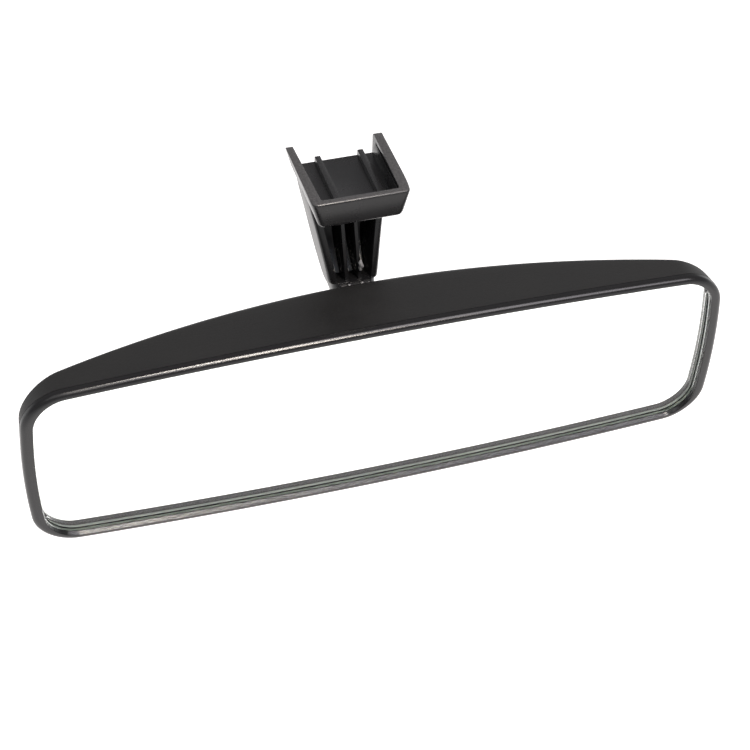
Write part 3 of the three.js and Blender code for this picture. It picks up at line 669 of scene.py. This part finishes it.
# Four webs carry the foam pads, and four posts take the screws of the socket's carrier.
half_web, web_reach, web_front, web_back = 0.8, 22, 8.7, 38
post_radius, post_front, post_length = 4, 18.5, 19.5
webs = []
for x in (-86, -52, 52, 86):
    webs.append(block((x - half_web, front + web_front, head_middle - web_reach),
                      (x + half_web, front + web_back, head_middle + web_reach)))
for x in (-27, 27):
    for z in (-3, 15):
        post = bmesh.new()
        bmesh.ops.create_cone(post, cap_ends=True, segments=32, radius1=post_radius,
                              radius2=post_radius, depth=post_length)
        bmesh.ops.rotate(post, verts=post.verts, matrix=Matrix.Rotation(math.pi / 2, 3, "X"))
        post_middle = (x, front + post_front + post_length / 2, head_middle + z)
        bmesh.ops.translate(post, verts=post.verts, vec=post_middle)
        webs.append(post)
inner_parts = worked(webs[0], *(("UNION", web) for web in webs[1:]),
                     ("INTERSECT", shell([], 1.0, start_depth, 3, 8)))
# The arm comes in through a rounded slot in the upper half of the back.
slot_width, slot_height, slot_corner, slot_start, slot_rise, slot_length = 28, 29, 5, 24, 10.5, 40
slot_cut = bmesh.new()
slot_face = section(slot_cut, slot_width, slot_height, slot_corner, 8)
pulled = bmesh.ops.extrude_face_region(slot_cut, geom=[slot_face])
bmesh.ops.translate(slot_cut, verts=[g for g in pulled["geom"] if isinstance(g, bmesh.types.BMVert)],
                    vec=(0, 0, -slot_length))
bmesh.ops.rotate(slot_cut, verts=slot_cut.verts, matrix=Matrix.Rotation(math.pi / 2, 3, "X"))
bmesh.ops.translate(slot_cut, verts=slot_cut.verts,
                    vec=(0, front + slot_start, head_middle + slot_rise))
bmesh.ops.recalc_face_normals(slot_cut, faces=slot_cut.faces)
housing = worked(outside, ("DIFFERENCE", inside), ("UNION", inner_parts), ("DIFFERENCE", slot_cut))
# The real grain is about 0.1 mm. It is drawn at 0.8 mm, as coarse as it needs to be to show.
polypropylene = moulded("polypropylene, spark-eroded mould", "141414", "191919", (0.46, 0.6), 0.8,
                        0.045, 1.49)
new_piece("housing_shell", smooth(housing), polypropylene, "head", ["housing"])

# ---- Bezel: a satin polypropylene rim snapped into the housing, with a round bead along its front
# edge and a lip that holds the glass.

# In mm: the bead's radius, the rim's width at the sides and the long edges, and its lip.
bead, rim_side, rim_edge = 1.95, 3.96, 2.46
lip_radius, lip_draft, lip_back, lip_reach = 0.3, 0.2, 1.6, 0.8
skirt_in, skirt_end, shoulder, chamfer = 1.15, 5.3, 3.0, 0.1
bead_steps, lip_steps = 10, 4
bezel_places = []
for k in range(bead_steps + 1):
    angle = math.radians(90 - 90 * k / bead_steps)
    step = bead * (1 - math.sin(angle))
    bezel_places.append(inset(step, step, bead * (1 - math.cos(angle))))
for k in range(lip_steps + 1):
    angle = math.radians(90 * k / lip_steps)
    step = lip_draft + lip_radius * (1 - math.sin(angle))
    bezel_places.append(inset(rim_side - step, rim_edge - step, lip_radius * (1 - math.cos(angle))))
bezel_places += [inset(side, edge, depth) for side, edge, depth in (
    (rim_side, rim_edge, lip_back), (rim_side - lip_reach, rim_edge - lip_reach, lip_back),
    (rim_side - lip_reach, rim_edge - lip_reach, skirt_end), (skirt_in, skirt_in, skirt_end),
    (skirt_in, skirt_in, shoulder), (chamfer, chamfer, shoulder), (0, 0, shoulder - chamfer))]
bezel = loft(bezel_places, ring=True)
satin = moulded("polypropylene, satin mould", "161617", "1b1b1c", (0.17, 0.23), 0.5, 0.0012, 1.49)
new_piece("bezel_rim", smooth(bezel), satin, "head", ["bezel"])

# ---- Mirror glass: 3 mm float glass with a ground edge. Its silver is on the back, under a safety
# film that holds the pieces if the glass breaks.

under_lip, front_arris, back_arris, glass_front, glass_back = 0.5, 0.5, 0.3, 1.9, 4.9
glass_side, glass_edge = rim_side - under_lip, rim_edge - under_lip
glass = loft([inset(glass_side + front_arris, glass_edge + front_arris, glass_front),
              inset(glass_side, glass_edge, glass_front + front_arris),
              inset(glass_side, glass_edge, glass_back - back_arris),
              inset(glass_side + back_arris, glass_edge + back_arris, glass_back)])
float_glass = blank_material("float glass")
glass_tree = float_glass.node_tree
glass_place = add(glass_tree, "ShaderNodeTexCoord").outputs["Object"]
melt = add(glass_tree, "ShaderNodeTexNoise", {
    "Vector": glass_place, "Scale": 1 / (60 * mm), "Detail": 1.0})
tint = add(glass_tree, "ShaderNodeMix", {
    0: melt.outputs["Fac"], 6: (0.985, 0.998, 0.992, 1), 7: (0.98, 0.995, 0.985, 1)}, data_type="RGBA")
clear = add(glass_tree, "ShaderNodeBsdfPrincipled", {
    "Base Color": tint.outputs[2], "Roughness": 0.0, "IOR": 1.52, "Transmission Weight": 1.0})
add(glass_tree, "ShaderNodeOutputMaterial", {"Surface": clear.outputs["BSDF"]})
# The edge is ground with a wheel: a dull green-grey that shows through the front of the glass.
ground_edge = moulded("ground glass edge", "8f9a92", "a9b3ab", (0.55, 0.7), 0.2, 0.02, 1.52)
for face in glass.faces:
    face.material_index = 0 if abs(face.normal.y) > 0.3 else 1
plate = new_piece("glass_plate", smooth(glass), float_glass, "head", ["mirror_glass"])
plate.data.materials.append(ground_edge)

coat_in, coat_start, coat_end = 0.4, 0.03, 0.45
silver_coat = loft([inset(glass_side + coat_in, glass_edge + coat_in, glass_back + coat_start),
                    inset(glass_side + coat_in, glass_edge + coat_in, glass_back + coat_end)])
silver = blank_material("silver coating under safety film")
silver_tree = silver.node_tree
silver_place = add(silver_tree, "ShaderNodeTexCoord").outputs["Object"]
cloud = add(silver_tree, "ShaderNodeTexNoise", {
    "Vector": silver_place, "Scale": 1 / (40 * mm), "Detail": 2.0})
coat = add(silver_tree, "ShaderNodeMix", {
    0: cloud.outputs["Fac"], 6: (0.97, 0.975, 0.97, 1), 7: (0.96, 0.968, 0.964, 1)}, data_type="RGBA")
bright = add(silver_tree, "ShaderNodeBsdfPrincipled", {
    "Base Color": coat.outputs[2], "Metallic": 1.0, "Roughness": 0.0})
add(silver_tree, "ShaderNodeOutputMaterial", {"Surface": bright.outputs["BSDF"]})
new_piece("silver_and_film", smooth(silver_coat), silver, "head", ["backing_film"])

# ---- Foam pads: blocks of soft black polyurethane, held between the safety film and the housing's
# webs, where they keep the glass from rattling.

foam = moulded("black polyurethane foam", "121212", "1a1a1a", (0.85, 0.98), 0.7, 0.25, 1.3)
for number in (1, 2, 3, 4):
    pad = block(*(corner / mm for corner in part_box(f"foam_pad_{number}")))
    round_edges(pad, pad.edges[:], 0.5, 3)
    piece = new_piece(f"foam_block_{number}", smooth(pad), foam, "head", [f"foam_pad_{number}"])
